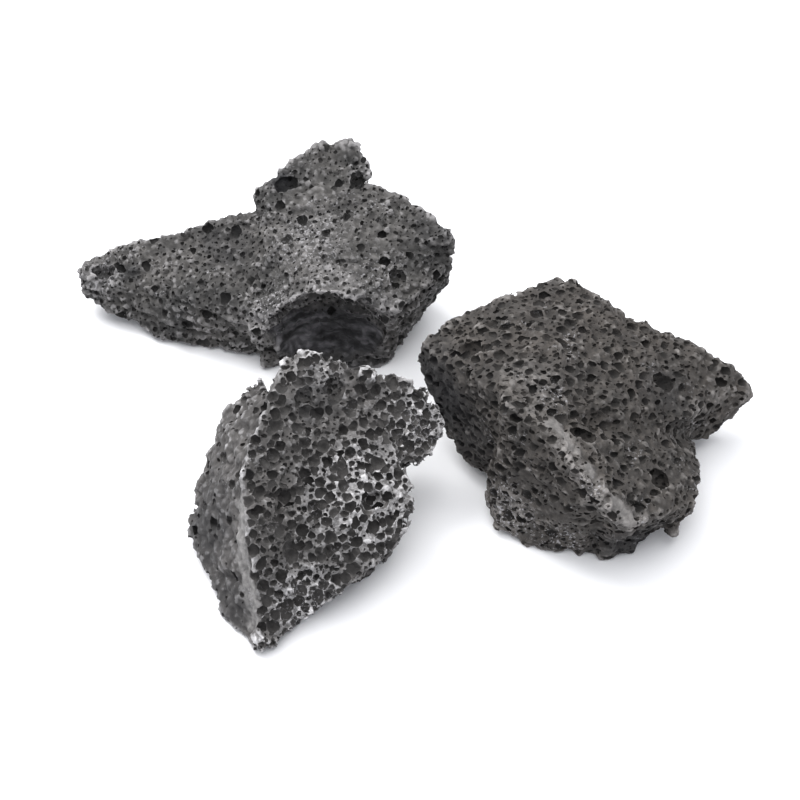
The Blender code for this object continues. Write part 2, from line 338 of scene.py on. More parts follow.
def near_band(tree, given, here):
    """1 along the band of skin that the bubbles left alone, and 0 away from it."""
    sockets = {0: 2, 2: given["Band start"], 3: given["Band end"]}
    line = put(tree, "GeometryNodeMeshLine", sockets, mode="END_POINTS").outputs[0]
    sockets = {"Geometry": line}
    away = put(tree, "GeometryNodeProximity", sockets, target_element="EDGES").outputs["Distance"]
    ragged = noise_around_zero(tree, here, BAND_NOISE_SCALE, 2.0, 2.0)
    away = calculate(tree, "ADD", away, calculate(tree, "MULTIPLY", ragged, BAND_RAGGEDNESS))
    core = calculate(tree, "MULTIPLY", given["Band reach"], BAND_CORE)
    sockets = {0: away, 1: given["Band reach"], 2: core, 3: 0.0, 4: 1.0}
    return put(tree, "ShaderNodeMapRange", sockets).outputs[0]


print("a band is fully smooth out to", BAND_CORE, "of its reach")

# %% [markdown]
# ## The rough skin
#
# The skin is roughened before any bubble is cut, so that the bubbles open on to broken rock.
# Broad bumps and small beads go over all of it. The flow's layers come out as ledges, mostly on
# the steep sides, from noise that is squeezed flat. Edges, which the even skin has rounded off,
# are lifted again, and the whole skin is drawn in a little to make up for that. Whatever would
# go below the floor is held at its height. Four measures are stored for later: how far a point
# faces the quiet side, how much it is an edge, how near the band it is, and which way the
# stone leans there.

# %% The rough skin
LAYER_SQUEEZE = (0.18, 0.18, 1.0)
LEDGE_SCALE = 420.0
LEAN_BLUR = 12


def layered_noise(tree, here, seed):
    """Noise that hardly changes sideways, so that it lies in layers."""
    sockets = {0: here, 1: LAYER_SQUEEZE}
    flat = put(tree, "ShaderNodeVectorMath", sockets, operation="MULTIPLY").outputs[0]
    return noise_around_zero(tree, flat, LEDGE_SCALE, 2.0, seed)


def keep_above_floor(tree, geometry, here):
    part = put(tree, "ShaderNodeSeparateXYZ", {0: here}).outputs
    height = calculate(tree, "MAXIMUM", part[2], 0.0)
    raised = put(tree, "ShaderNodeCombineXYZ", {0: part[0], 1: part[1], 2: height}).outputs[0]
    sockets = {"Geometry": geometry, "Position": raised}
    return put(tree, "GeometryNodeSetPosition", sockets).outputs[0]


def rough_skin(tree, given, here, outward, seed):
    """The skin before its bubbles open: broad bumps with beads of broken rock on them."""
    edges = bulge(tree, here, outward, EDGE_BLUR)
    band = near_band(tree, given, here)
    facing = dot_product(tree, outward, given["Quiet side"])
    skin = store(tree, given["Geometry"], "facing", facing)
    skin = store(tree, skin, "worn", edges)
    skin = store(tree, skin, "band", band)
    skin = store(tree, skin, "lean", average_nearby(tree, outward, LEAN_BLUR), "FLOAT_VECTOR")

    bump_scale = calculate(tree, "DIVIDE", 1.0, given["Bump size"])
    bumps = noise_around_zero(tree, here, bump_scale, 3.0, seed)
    bumps = calculate(tree, "MULTIPLY", bumps, given["Bump height"])
    beads = beads_on(tree, here, given["Bead size"], seed)
    beads = calculate(tree, "MULTIPLY", beads, given["Bead height"])
    lost = calculate(tree, "SUBTRACT", 1.0, given["Band relief"])
    relief = calculate(tree, "SUBTRACT", 1.0, calculate(tree, "MULTIPLY", band, lost))
    rise = calculate(tree, "MULTIPLY", calculate(tree, "ADD", bumps, beads), relief)

    tilt = put(tree, "ShaderNodeSeparateXYZ", {0: outward}).outputs[2]
    steep = calculate(tree, "SUBTRACT", 1.0, calculate(tree, "ABSOLUTE", tilt))
    ledges = calculate(tree, "MULTIPLY", layered_noise(tree, here, seed), steep)
    ledges = calculate(tree, "MULTIPLY", ledges, given["Ledge height"])
    rise = calculate(tree, "ADD", rise, ledges)
    rise = calculate(tree, "ADD", rise, calculate(tree, "MULTIPLY", edges, given["Edge lift"]))
    rise = calculate(tree, "SUBTRACT", rise, given["Inset"])
    return keep_above_floor(tree, offset_by(tree, skin, scale_vector(tree, outward, rise)), here)


print("ledges run", round(1 / LAYER_SQUEEZE[0], 1), "times as far sideways as they are high")

# %% [markdown]
# ## The balls that become bubbles
#
# No bubble in stiff lava is a perfect ball. A few small balls are bent in different ways, and
# each point of a layer picks one of them, turns it and sizes it. They have few faces, because
# thousands of them are cut from each stone.

# %% Lopsided balls
BALL_KINDS = 4
BALL_BEND = 1.3
BALL_NOISE_SCALE = 1.1
BALL_SEED_STEP = 3.7


def lopsided_balls(tree, fineness):
    """A few closed balls, each bent another way, for the bubbles to choose from."""
    kinds = put(tree, "GeometryNodeGeometryToInstance")
    here = put(tree, "GeometryNodeInputPosition").outputs[0]
    outward = put(tree, "GeometryNodeInputNormal").outputs[0]
    for kind in range(BALL_KINDS):
        sockets = {"Radius": 1.0, "Subdivisions": fineness}
        ball = put(tree, "GeometryNodeMeshIcoSphere", sockets).outputs[0]
        bend = noise_around_zero(tree, here, BALL_NOISE_SCALE, 1.0, BALL_SEED_STEP * (kind + 1))
        bend = calculate(tree, "MULTIPLY", bend, BALL_BEND)
        bent = offset_by(tree, ball, scale_vector(tree, outward, bend))
        tree.links.new(bent, kinds.inputs[0])
    return kinds.outputs[0]


print("a bubble takes one of", BALL_KINDS, "shapes")

# %% [markdown]
# ## Three layers of bubbles
#
# Big, middle and small bubbles are scattered on the rough skin. How many there are depends on
# the place. There are few on the quiet side, which is the underside unless a stone's inputs
# say otherwise, and none on the band. Elsewhere they are more or fewer in broad drifts of
# froth, as a slow noise says.

# %% The bubbles
FROTH_SCALE = 95.0
FROTH_FROM, FROTH_TO = -0.18, 0.05
MOST_TURN = 0.35
TURN_SEED, KIND_SEED = 5, 6
LAYER_SEED_STEP = 10
LAYER_FINENESS = {"Big": 2, "Middle": 2, "Small": 1}


def bubble_share(tree, given):
    """The share of a layer's points that is kept: low where the rock is quiet or smooth."""
    quiet = calculate(tree, "GREATER_THAN", named(tree, "facing"), given["Quiet from"])
    drop = calculate(tree, "SUBTRACT", 1.0, given["Quiet share"])
    share = calculate(tree, "SUBTRACT", 1.0, calculate(tree, "MULTIPLY", quiet, drop))
    here = put(tree, "GeometryNodeInputPosition").outputs[0]
    froth_seed = calculate(tree, "ADD", given["Seed"], 0.5)
    froth = noise_around_zero(tree, here, FROTH_SCALE, 2.0, froth_seed)
    sockets = {0: froth, 1: FROTH_FROM, 2: FROTH_TO, 3: given["Calm share"]}
    froth = put(tree, "ShaderNodeMapRange", sockets).outputs[0]
    share = calculate(tree, "MULTIPLY", share, froth)
    open_skin = calculate(tree, "SUBTRACT", 1.0, named(tree, "band"))
    return calculate(tree, "MULTIPLY", share, open_skin)


def bubbles(tree, given, skin):
    """Three layers of balls on the skin, each finer one clear of those before it."""
    share = bubble_share(tree, given)
    sockets = {0: (-MOST_TURN,) * 3, 1: (MOST_TURN,) * 3, "Seed": TURN_SEED}
    turn = put(tree, "FunctionNodeRandomValue", sockets, data_type="FLOAT_VECTOR").outputs[0]
    sockets = {4: 0, 5: BALL_KINDS - 1, "Seed": KIND_SEED}
    which = put(tree, "FunctionNodeRandomValue", sockets, data_type="INT").outputs[2]
    earlier_layers = []
    balls = put(tree, "GeometryNodeJoinGeometry")
    for number, (layer, fineness) in enumerate(LAYER_FINENESS.items()):
        taken = put(tree, "GeometryNodeJoinGeometry")
        for points in earlier_layers:
            tree.links.new(points, taken.inputs[0])
        sockets = {
            "Geometry": skin,
            "Taken": taken.outputs[0],
            "Spacing": given[f"{layer} spacing"],
            "Least radius": given[f"{layer} least"],
            "Most radius": given[f"{layer} most"],
            "Share": share,
            "Seed": calculate(tree, "ADD", given["Seed"], float(number * LAYER_SEED_STEP)),
        }
        group = put(tree, "GeometryNodeGroup", node_tree=layer_group)
        for name, source in sockets.items():
            tree.links.new(source, group.inputs[name])
        earlier_layers.append(group.outputs[0])
        sockets = {
            "Points": group.outputs[0],
            "Instance": lopsided_balls(tree, fineness),
            "Pick Instance": True,
            "Instance Index": which,
            "Rotation": turn,
            "Scale": scale_vector(tree, given["Stretch"], named(tree, "radius")),
        }
        placed = put(tree, "GeometryNodeInstanceOnPoints", sockets).outputs[0]
        tree.links.new(placed, balls.inputs[0])
    return balls.outputs[0]


print("layers of bubbles:", ", ".join(LAYER_FINENESS).lower())

# %% [markdown]
# ## After the cut
#
# One Boolean takes all the bubbles away at once. The Manifold solver is made for this: it
# treats every instance as its own closed body, so bubbles may overlap, and it is fast. Where
# bubbles meet all round a bit of rock they cut it loose, and real crumbs have fallen off long
# ago, so every loose island of few points is dropped. The new faces know nothing of the old
# skin, so its measures are read again from the nearest point of it, and lengths are stored in
# millimetres. Last, everything is bent a little and gets a fine grit, which roughens the
# insides of the bubbles too.

# %% Crumbs, warp and grit
FEWEST_POINTS = 2000.0
WARP_SCALE = 420.0
GRIT_SCALE = 1500.0
GRIT_HEIGHT = 0.35 * MM
TO_MM = 1 / MM


def from_skin(tree, skin, value, kind="FLOAT"):
    """A value of the uncut skin, read at the point of it that lies nearest."""
    sockets = {0: skin, "Value": value}
    return put(tree, "GeometryNodeSampleNearestSurface", sockets, data_type=kind).outputs[0]


def without_crumbs(tree, rock):
    """Drops the crumbs that bubbles all round have cut loose from the stone."""
    island = put(tree, "GeometryNodeInputMeshIsland").outputs["Island Index"]
    sockets = {"Value": 1.0, "Group ID": island}
    size = put(tree, "GeometryNodeAccumulateField", sockets).outputs["Total"]
    small = calculate(tree, "LESS_THAN", size, FEWEST_POINTS)
    sockets = {"Geometry": rock, "Selection": small}
    return put(tree, "GeometryNodeDeleteGeometry", sockets, domain="POINT").outputs[0]


def warp(tree, given, here, seed):
    """Bends everything a little, so that no bubble stays a perfect ball."""
    far_seed = calculate(tree, "ADD", seed, 9.0)
    sockets = {"Vector": here, "Scale": WARP_SCALE, "Detail": 2.0, "W": far_seed}
    field = put(tree, "ShaderNodeTexNoise", sockets, noise_dimensions="4D").outputs[1]
    sockets = {0: field, 1: (0.5, 0.5, 0.5)}
    middle = put(tree, "ShaderNodeVectorMath", sockets, operation="SUBTRACT").outputs[0]
    return scale_vector(tree, middle, given["Warp"])


def grit(tree, here, outward, seed):
    """Grains on everything, those inside the bubbles too."""
    height = noise_around_zero(tree, here, GRIT_SCALE, 2.0, seed)
    return scale_vector(tree, outward, calculate(tree, "MULTIPLY", height, GRIT_HEIGHT))


print("an island of under", int(FEWEST_POINTS), "points is dropped as a crumb")

# %% [markdown]
# ## The whole tree
#
# Now the steps are put in order: roughen, cut, clean, measure, bend, and find the rims. The
# tree ends in Realize Instances and Set Material, so that what comes out is one plain mesh with the
# finish on it.

# %% The rock tree
SEED_STEP = 1.7


def make_rock_tree():
    tree = new_tree("vesicular_rock", ROCK_INPUTS)
    given = put(tree, "NodeGroupInput").outputs
    here = put(tree, "GeometryNodeInputPosition").outputs[0]
    outward = put(tree, "GeometryNodeInputNormal").outputs[0]
    seed = calculate(tree, "MULTIPLY", given["Seed"], SEED_STEP)
    skin = rough_skin(tree, given, here, outward, seed)
    sockets = {"Mesh 1": skin, "Mesh 2": bubbles(tree, given, skin)}
    settings = {"operation": "DIFFERENCE", "solver": "MANIFOLD"}
    cut = put(tree, "GeometryNodeMeshBoolean", sockets, **settings).outputs[0]

    worn = from_skin(tree, skin, named(tree, "worn"))
    band = from_skin(tree, skin, named(tree, "band"))
    lean = from_skin(tree, skin, named(tree, "lean", "FLOAT_VECTOR"), "FLOAT_VECTOR")
    below = put(tree, "GeometryNodeProximity", {"Geometry": skin}, target_element="FACES")
    depth = below.outputs["Distance"]
    rock = without_crumbs(tree, cut)
    rock = store(tree, rock, "worn", calculate(tree, "MULTIPLY", worn, TO_MM))
    rock = store(tree, rock, "band", band)
    rock = store(tree, rock, "lean", lean, "FLOAT_VECTOR")
    rock = store(tree, rock, "hollow", calculate(tree, "MULTIPLY", depth, TO_MM))

    moved = add_vectors(tree, grit(tree, here, outward, seed), warp(tree, given, here, seed))
    rock = keep_above_floor(tree, offset_by(tree, rock, moved), here)
    crest = calculate(tree, "MULTIPLY", bulge(tree, here, outward, RIM_BLUR), TO_MM)
    rock = store(tree, rock, "crest", crest)
    rock = put(tree, "GeometryNodeRealizeInstances", {"Geometry": rock}).outputs[0]
    sockets = {"Geometry": rock, "Material": given["Material"]}
    put(tree, "NodeGroupOutput", {0: put(tree, "GeometryNodeSetMaterial", sockets).outputs[0]})
    return tree


rock_tree = make_rock_tree()
print("rock tree:", len(rock_tree.nodes), "nodes")

# %% [markdown]
# ## From solid to even skin
#
# The frame's mesh is loose triangles, so a copy of it is merged first. A voxel Remesh gives it
# an even skin of small faces, which the rock tree can push about. A modifier's result is taken
# as a plain mesh, and the modifiers are removed, so that nothing is left to work out again.

# %% Copying and finishing a mesh
VOXEL = 0.55 * MM


def merged_copy(node_name, name):
    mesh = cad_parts[node_name].data.copy()
    mesh.name = name
    work = bmesh.new()
    work.from_mesh(mesh)
    bmesh.ops.remove_doubles(work, verts=work.verts, dist=0.001 * MM)
    work.to_mesh(mesh)
    work.free()
    stone = bpy.data.objects.new(name, mesh)
    bpy.context.scene.collection.objects.link(stone)
    return stone


def finish_modifiers(stone):
    """Turns what the modifiers make into the stone's own plain mesh, and removes them."""
    bpy.context.view_layer.update()
    graph = bpy.context.evaluated_depsgraph_get()
    shaped = stone.evaluated_get(graph)
    mesh = bpy.data.meshes.new_from_object(
        shaped, preserve_all_data_layers=True, depsgraph=graph
    )
    stone.modifiers.clear()
    stone.data = mesh
    return mesh


print("the even skin has faces about", round(VOXEL * TO_MM, 2), "mm wide")

# %% [markdown]
# ## A flat map of each stone
#
# A finish that is made of patterns needs no map, but one that is to be saved as a picture
# does. Unwrapping thousands of bubbles one by one would give thousands of scraps. Here the
# stone is looked at from six sides instead, and each view gets a cell of its own. Which view a
# face goes to depends on how the stone leans there as a whole, so a bubble stays in one piece
# with the skin round it.

# %% The map of six views
MAP_COLUMNS, MAP_ROWS = 3, 2
CELL_EDGE = 0.01


def read_vectors(items, name, count):
    values = np.empty(3 * count, dtype=np.float32)
    items.foreach_get(name, values)
    return values.reshape(-1, 3)


def map_by_sides(mesh):
    """Maps the stone as six flat views, each in its own cell of three columns and two rows."""
    count = len(mesh.vertices)
    places = read_vectors(mesh.vertices, "co", count)
    lean = read_vectors(mesh.attributes["lean"].data, "vector", count)
    corner_vertex = np.empty(len(mesh.loops), dtype=np.int32)
    mesh.loops.foreach_get("vertex_index", corner_vertex)
    starts = np.empty(len(mesh.polygons), dtype=np.int32)
    mesh.polygons.foreach_get("loop_start", starts)
    sizes = np.diff(np.append(starts, len(corner_vertex)))
    face_lean = np.add.reduceat(lean[corner_vertex], starts)
    axis = np.abs(face_lean).argmax(1)
    upper = face_lean[np.arange(len(axis)), axis] > 0
    axis, upper = np.repeat(axis, sizes), np.repeat(upper, sizes)
    unit = (places - places.min(0)) / np.ptp(places, axis=0)
    others = np.array([[2, 1], [2, 0], [1, 0]])[axis]
    flat = np.take_along_axis(unit[corner_vertex], others, 1)
    cell = np.stack([axis, upper], 1)
    uv = (cell + CELL_EDGE + (1 - 2 * CELL_EDGE) * flat) / (MAP_COLUMNS, MAP_ROWS)
    layer = mesh.uv_layers.new(name="OFBake")
    layer.data.foreach_set("uv", uv.astype(np.float32).ravel())
    mesh.attributes.remove(mesh.attributes["lean"])


print("the map has", MAP_COLUMNS * MAP_ROWS, "cells")

# %% [markdown]
# ## From even skin to stone
#
# The rock tree is hung on the even skin with the stone's own sizes. A modifier keeps its
# inputs under the sockets' identifiers, so a small helper looks those up by name. The stone is
# thinned if it came out too heavy to handle. Edges sharper than a set angle stay sharp, as the
# rims of real bubbles are, while the inside of a bubble is shaded smooth.

# %% Making a stone
MOST_TRIANGLES = 195_000
SHARP_ANGLE = math.radians(42)


def set_inputs(modifier, values):
    """Sets a Geometry Nodes modifier's inputs, which are stored under their identifiers."""
    for item in modifier.node_group.interface.items_tree:
        if item.item_type == "SOCKET" and item.in_out == "INPUT" and item.name in values:
            modifier[item.identifier] = values[item.name]


def print_measures(mesh):
    for name in ("hollow", "crest", "worn"):
        measured = np.empty(len(mesh.vertices), dtype=np.float32)
        mesh.attributes[name].data.foreach_get("value", measured)
        print("   ", name, "in mm:", np.percentile(measured, (5, 50, 95, 99)).round(2))


def make_rock(node_name, material, **sizes):
    stone = merged_copy(node_name, f"{node_name}_rock")
    stone.data.materials.clear()
    even = stone.modifiers.new("even_skin", "REMESH")
    even.mode = "VOXEL"
    even.voxel_size = VOXEL
    rock = stone.modifiers.new("rock", "NODES")
    rock.node_group = rock_tree
    values = {name.replace("_", " ").capitalize(): value for name, value in sizes.items()}
    set_inputs(rock, {**values, "Material": material})
    mesh = finish_modifiers(stone)
    triangles = sum(len(face.vertices) - 2 for face in mesh.polygons)
    print(node_name, "rock:", triangles, "triangles")
    print_measures(mesh)
    if triangles > MOST_TRIANGLES:
        thin = stone.modifiers.new("thin", "DECIMATE")
        thin.ratio = MOST_TRIANGLES / triangles
        mesh = finish_modifiers(stone)
    mesh.shade_smooth()
    mesh.set_sharp_from_angle(angle=SHARP_ANGLE)
    map_by_sides(mesh)
    return stone


print("a stone keeps at most", MOST_TRIANGLES, "triangles")

# %% [markdown]
# ## Patterns for the finish
#
# The basalt finish is made of patterns in the stone's own coordinates and of the measures that
# the rock tree stored, so it needs no picture. A ramp turns noise of a given grain size into a
# mask. Some marks have a place, such as the rubbed tip of a tail, so another helper gives soft
# balls at given places.

# %% Helpers for the finish
SOFT_CORE = 0.45


def ramp(tree, value, stops):
    node = put(tree, "ShaderNodeValToRGB", {0: value})
    points = node.color_ramp.elements
    while len(points) < len(stops):
        points.new(0.5)
    for point, (place, shade) in zip(points, stops):
        point.position = place
        point.color = (shade, shade, shade, 1)
    return node.outputs[0]


def mix_colour(tree, factor, first, second, how="MIX"):
    sockets = {0: factor, 6: first, 7: second}
    return put(tree, "ShaderNodeMix", sockets, data_type="RGBA", blend_type=how).outputs[2]


def multiply_colour(tree, colour, shade):
    return mix_colour(tree, 1.0, colour, shade, "MULTIPLY")


def noise(tree, where, grain, detail, roughness=0.6):
    sockets = {"Vector": where, "Scale": 1 / grain, "Detail": detail, "Roughness": roughness}
    return put(tree, "ShaderNodeTexNoise", sockets).outputs[0]


def near_places(tree, where, places):
    """White in soft balls at the given places, each a centre and a reach in mm and a strength."""
    total = 0.0
    for centre, reach, strength in places:
        sockets = {0: where, 1: tuple(part * MM for part in centre)}
        node = put(tree, "ShaderNodeVectorMath", sockets, operation="DISTANCE")
        away = node.outputs["Value"]
        sockets = {"Value": away, 1: reach * MM, 2: SOFT_CORE * reach * MM, 3: 0.0, 4: strength}
        spot = put(tree, "ShaderNodeMapRange", sockets).outputs[0]
        total = calculate(tree, "MAXIMUM", total, spot)
    return total


print("a marked place is at full strength out to", SOFT_CORE, "of its reach")

# %% [markdown]
# ## Bare rock and pale rims
#
# Fresh basalt is nearly black, with a brown or grey cast that comes and goes. The rims of the
# bubbles are made pale, partly as dust and wear and partly as a painted highlight on their lit
# tops, most of all on the stone's edges and where it is rubbed.
# There a thin film of dust also lies on the skin that no bubble has cut. The measures that the
# rock tree left behind say where the rims, the edges and the uncut skin are.

# %% Bare rock and pale rims
CAST_GRAIN = 12 * MM
PATCH_GRAIN = 5 * MM
FILM_GRAIN = 1.2 * MM


def read_measure(tree, name):
    return put(tree, "ShaderNodeAttribute", attribute_name=name).outputs["Fac"]


def uncut_skin(tree):
    return ramp(tree, read_measure(tree, "hollow"), [(0.03, 1.0), (0.25, 0.0)])


def bare_rock(tree, where, dark, cast):
    broad = ramp(tree, noise(tree, where, CAST_GRAIN, 3.0), [(0.35, 0.0), (0.65, 1.0)])
    return mix_colour(tree, broad, (*dark, 1), (*cast, 1))


def pale_rims(tree, where, ground, dust_and_highlight, rim_paleness, pale_places, film_share):
    """Pale dust and a painted highlight on the rims of bubbles, and a thin film of dust on the
    uncut skin of worn places.
    """
    patch = ramp(tree, noise(tree, where, PATCH_GRAIN, 3.0), [(0.45, 0.15), (0.65, 1.0)])
    patch = calculate(tree, "MULTIPLY", patch, rim_paleness)
    rubbed = near_places(tree, where, pale_places)
    edge = ramp(tree, read_measure(tree, "worn"), [(0.4, 0.0), (0.9, 1.0)])
    paled = calculate(tree, "MAXIMUM", calculate(tree, "MAXIMUM", patch, rubbed), edge)
    # painted highlight and dust: rims that stand out from their neighbours are made pale
    rim = ramp(tree, read_measure(tree, "crest"), [(0.03, 0.0), (0.14, 1.0)])
    rim = calculate(tree, "MULTIPLY", rim, paled)

    crumbly = ramp(tree, noise(tree, where, FILM_GRAIN, 4.0, 0.7), [(0.4, 0.2), (0.6, 1.0)])
    film = calculate(tree, "MAXIMUM", edge, rubbed)
    film = calculate(tree, "MULTIPLY", film, uncut_skin(tree))
    film = calculate(tree, "MULTIPLY", film, crumbly)
    rim = calculate(tree, "MAXIMUM", rim, calculate(tree, "MULTIPLY", film, film_share))
    return mix_colour(tree, rim, ground, (*dust_and_highlight, 1))


print("the cast comes and goes every", round(CAST_GRAIN * TO_MM), "mm")

# %% [markdown]
# ## The band, mottling and streaks
#
# The band has a colour of its own, as rubbed rock without bubbles. Then the whole stone is
# mottled in small grains, because no rock has one even shade. Where the flow's layers were
# laid open, they show as streaks: the same kind of noise as the mottling, squeezed flat.

# %% The band, mottling and streaks
BAND_COVER = 0.9
MOTTLE_GRAIN = 1.6 * MM
STREAK_GRAIN = 1.7 * MM
STREAK_SQUEEZE = (0.22, 0.22, 1.0)


def band_and_mottling(tree, where, ground, band_colour, layering):
    band = read_measure(tree, "band")
    plain = calculate(tree, "MULTIPLY", band, uncut_skin(tree))
    plain = calculate(tree, "MULTIPLY", plain, BAND_COVER)
    ground = mix_colour(tree, plain, ground, (*band_colour, 1))
    mottle = ramp(tree, noise(tree, where, MOTTLE_GRAIN, 3.0), [(0.32, 0.6), (0.68, 1.4)])
    ground = multiply_colour(tree, ground, mottle)
    sockets = {0: where, 1: STREAK_SQUEEZE}
    level = put(tree, "ShaderNodeVectorMath", sockets, operation="MULTIPLY").outputs[0]
    streaks = ramp(tree, noise(tree, level, STREAK_GRAIN, 3.0), [(0.42, 0.25), (0.62, 2.1)])
    streaked = calculate(tree, "MULTIPLY", band, layering)
    return mix_colour(tree, streaked, ground, multiply_colour(tree, ground, streaks))


print("streaks are", round(1 / STREAK_SQUEEZE[0], 1), "times as long as they are high")

# %% [markdown]
# ## Flecks and painted shade in hollows
#
# White flecks of crystal sit in clusters, some scattered and some at given places. The inside
# of a bubble and the creases of the skin get painted shade: the finish is darkened by how deep
# a point lies and by how far it is sunk below its neighbours. A few given places on each stone
# are painted darker as a whole, partly as shade on faces turned from the light and partly as darker
# rock.

# %% Flecks and painted shade in hollows
FLECK_GRAIN = 0.75 * MM
CLUSTER_GRAIN = 7 * MM
FLECK_COLOUR = (0.36, 0.35, 0.36, 1)
SHADOW_COLOUR = (0.015, 0.015, 0.017, 1)


def white_flecks(tree, where, ground, fleck_places):
    specks = ramp(tree, noise(tree, where, FLECK_GRAIN, 3.0), [(0.57, 0.0), (0.63, 1.0)])
    clusters = ramp(tree, noise(tree, where, CLUSTER_GRAIN, 2.0), [(0.57, 0.0), (0.67, 0.6)])
    clusters = calculate(tree, "MAXIMUM", clusters, near_places(tree, where, fleck_places))
    specks = calculate(tree, "MULTIPLY", specks, clusters)
    return mix_colour(tree, specks, ground, FLECK_COLOUR)


def painted_hollow_shade(tree, where, ground, depth_shade, dark_and_shaded_places):
    # painted shade: the deeper a point lies inside a bubble, the darker it is painted
    deep = ramp(tree, read_measure(tree, "hollow"), [(0.05, 1.0), (1.0, depth_shade)])
    ground = multiply_colour(tree, ground, deep)
    # painted shade in the creases of the skin, where a point is sunk below its neighbours
    sockets = {0: read_measure(tree, "crest"), 1: -0.2, 2: -0.02, 3: 0.65, 4: 1.0}
    crease_shade = put(tree, "ShaderNodeMapRange", sockets).outputs[0]
    ground = multiply_colour(tree, ground, crease_shade)
    # painted shade and darker rock at the given places: the finish goes towards near black there
    return mix_colour(tree, near_places(tree, where, dark_and_shaded_places), ground, SHADOW_COLOUR)


print("a fleck is", round(FLECK_COLOUR[0] / SHADOW_COLOUR[0]), "times as bright as a shadow")

# %% [markdown]
# ## The basalt material
#
# A stone's own colours and places are handed in, and the layers are laid one over another. The
# surface is matt, a little less so in some grains. A bump stands only for the finest grain,
# which is too small to be worth modelling.

# %% The basalt material
SHEEN_GRAIN = 0.8 * MM
FINE_GRAIN = 0.6 * MM
FINE_HEIGHT = 0.35 * MM


def make_basalt(
    name,
    dark,
    cast,
    dust_and_highlight,
    pale_places,
    dark_and_shaded_places,
    fleck_places,
    rim_paleness,
    film_share,
    band_colour,
    depth_shade,
    layering,
):
    material = bpy.data.materials.new(name)
    material.use_nodes = True
    tree = material.node_tree
    shader = tree.nodes["Principled BSDF"]
    where = put(tree, "ShaderNodeTexCoord").outputs["Object"]
    ground = bare_rock(tree, where, dark, cast)
    ground = pale_rims(tree, where, ground, dust_and_highlight, rim_paleness, pale_places, film_share)
    ground = band_and_mottling(tree, where, ground, band_colour, layering)
    ground = white_flecks(tree, where, ground, fleck_places)
    ground = painted_hollow_shade(tree, where, ground, depth_shade, dark_and_shaded_places)
    tree.links.new(ground, shader.inputs["Base Color"])

    rough = ramp(tree, noise(tree, where, SHEEN_GRAIN, 3.0), [(0.3, 0.72), (0.7, 0.97)])
    tree.links.new(rough, shader.inputs["Roughness"])
    grain = noise(tree, where, FINE_GRAIN, 5.0, 0.65)
    sockets = {"Height": grain, "Strength": 0.8, "Distance": FINE_HEIGHT}
    tree.links.new(put(tree, "ShaderNodeBump", sockets).outputs[0], shader.inputs["Normal"])
    print(name, "has", len(tree.nodes), "nodes")
    return material


# %% [markdown]
# ## The long stone
#
# The long stone is crumbly: a rough skin with small bubbles and a few large pits. It runs out
# to a tail, and a scoop was broken out of its front. Inside the scoop the flow's layers show
# as ledges, so the bubbles are kept away from a band there. The scoop's rim and the tail's tip
# are rubbed pale. A place is given by its centre and reach in millimetres, and a strength.

# %% The long stone
long_basalt = make_basalt(
    "long_stone_basalt",
    dark=(0.030, 0.029, 0.028),
    cast=(0.084, 0.079, 0.075),
    dust_and_highlight=(0.27, 0.26, 0.26),
    pale_places=[
        ((-18, 24, 27), 9, 1.0),
        ((-26, 26, 20), 6, 1.0),
        ((-37, 22, 14), 8, 0.9),
        ((-77, 40, 12), 6, 1.0),
        ((-5, 22, 20), 6, 0.9),
        ((-24, 38, 29), 12, 0.5),
    ],
    # painted shade on the scoop and in deep pits, and patches of darker rock
    dark_and_shaded_places=[
        ((-16, 22, 4), 16, 0.35),
        ((-31, 55, 31), 4, 0.9),
        ((-70, 39, 16), 4, 0.8),
        ((-45, 44, 20), 9, 0.4),
        ((8, 40, 26), 8, 0.3),
    ],
    fleck_places=[
        ((-24, 36, 29), 13, 0.8),
        ((-6, 28, 27), 9, 0.6),
        ((-34, 24, 20), 8, 0.9),
        ((-77, 40, 12), 7, 0.9),
    ],
    rim_paleness=0.75,
    film_share=0.5,
    band_colour=(0.068, 0.066, 0.071),
    depth_shade=0.6,
    layering=1.0,
)
long_rock = make_rock(
    "long_stone",
    long_basalt,
    bump_size=6 * MM,
    bump_height=3.2 * MM,
    bead_height=1.4 * MM,
    bead_size=1.8 * MM,
    ledge_height=5 * MM,
    big_spacing=6.5 * MM,
    big_least=0.5 * MM,
    big_most=1.8 * MM,
    middle_spacing=2.2 * MM,
    middle_least=0.35 * MM,
    middle_most=0.75 * MM,
    band_start=(-30 * MM, 25 * MM, 8 * MM),
    band_end=(-8 * MM, 26 * MM, 7 * MM),
    band_reach=6.5 * MM,
    band_relief=1.0,
    calm_share=0.15,
    seed=3,
)

# %% [markdown]
# ## The pitted stone
#
# The pitted stone is a honeycomb: large round bubbles lie so close that only thin pale walls
# stand between them. Its left cheek is the old outside of the lava, wrinkled and nearly
# closed, and a smooth pale band runs down the corner between the two.

# %% The pitted stone
pitted_basalt = make_basalt(
    "pitted_stone_basalt",
    dark=(0.060, 0.056, 0.054),
    cast=(0.090, 0.084, 0.081),
    dust_and_highlight=(0.52, 0.51, 0.515),
    pale_places=[
        ((-8, -36, 20), 19, 1.0),
        ((4, -14, 21), 13, 1.0),
        ((-22, -56, 8), 12, 1.0),
        ((-20, -8, 33), 8, 0.6),
    ],
    # painted shade on the top pit and low down, and the darker rock of the cheek
    dark_and_shaded_places=[
        ((-20, -15, 31), 8, 0.45),
        ((-2, -52, 2), 9, 0.5),
        ((-45, -36, 12), 13, 0.5),
        ((-42, -54, 5), 10, 0.45),
    ],
    fleck_places=[
        ((5, -15, 20), 9, 1.0),
        ((-22, -56, 8), 8, 1.0),
        ((-19, -8, 33), 3, 1.0),
    ],
    rim_paleness=0.45,
    film_share=0.6,
    band_colour=(0.21, 0.203, 0.198),
    depth_shade=0.95,
    layering=0.0,
)
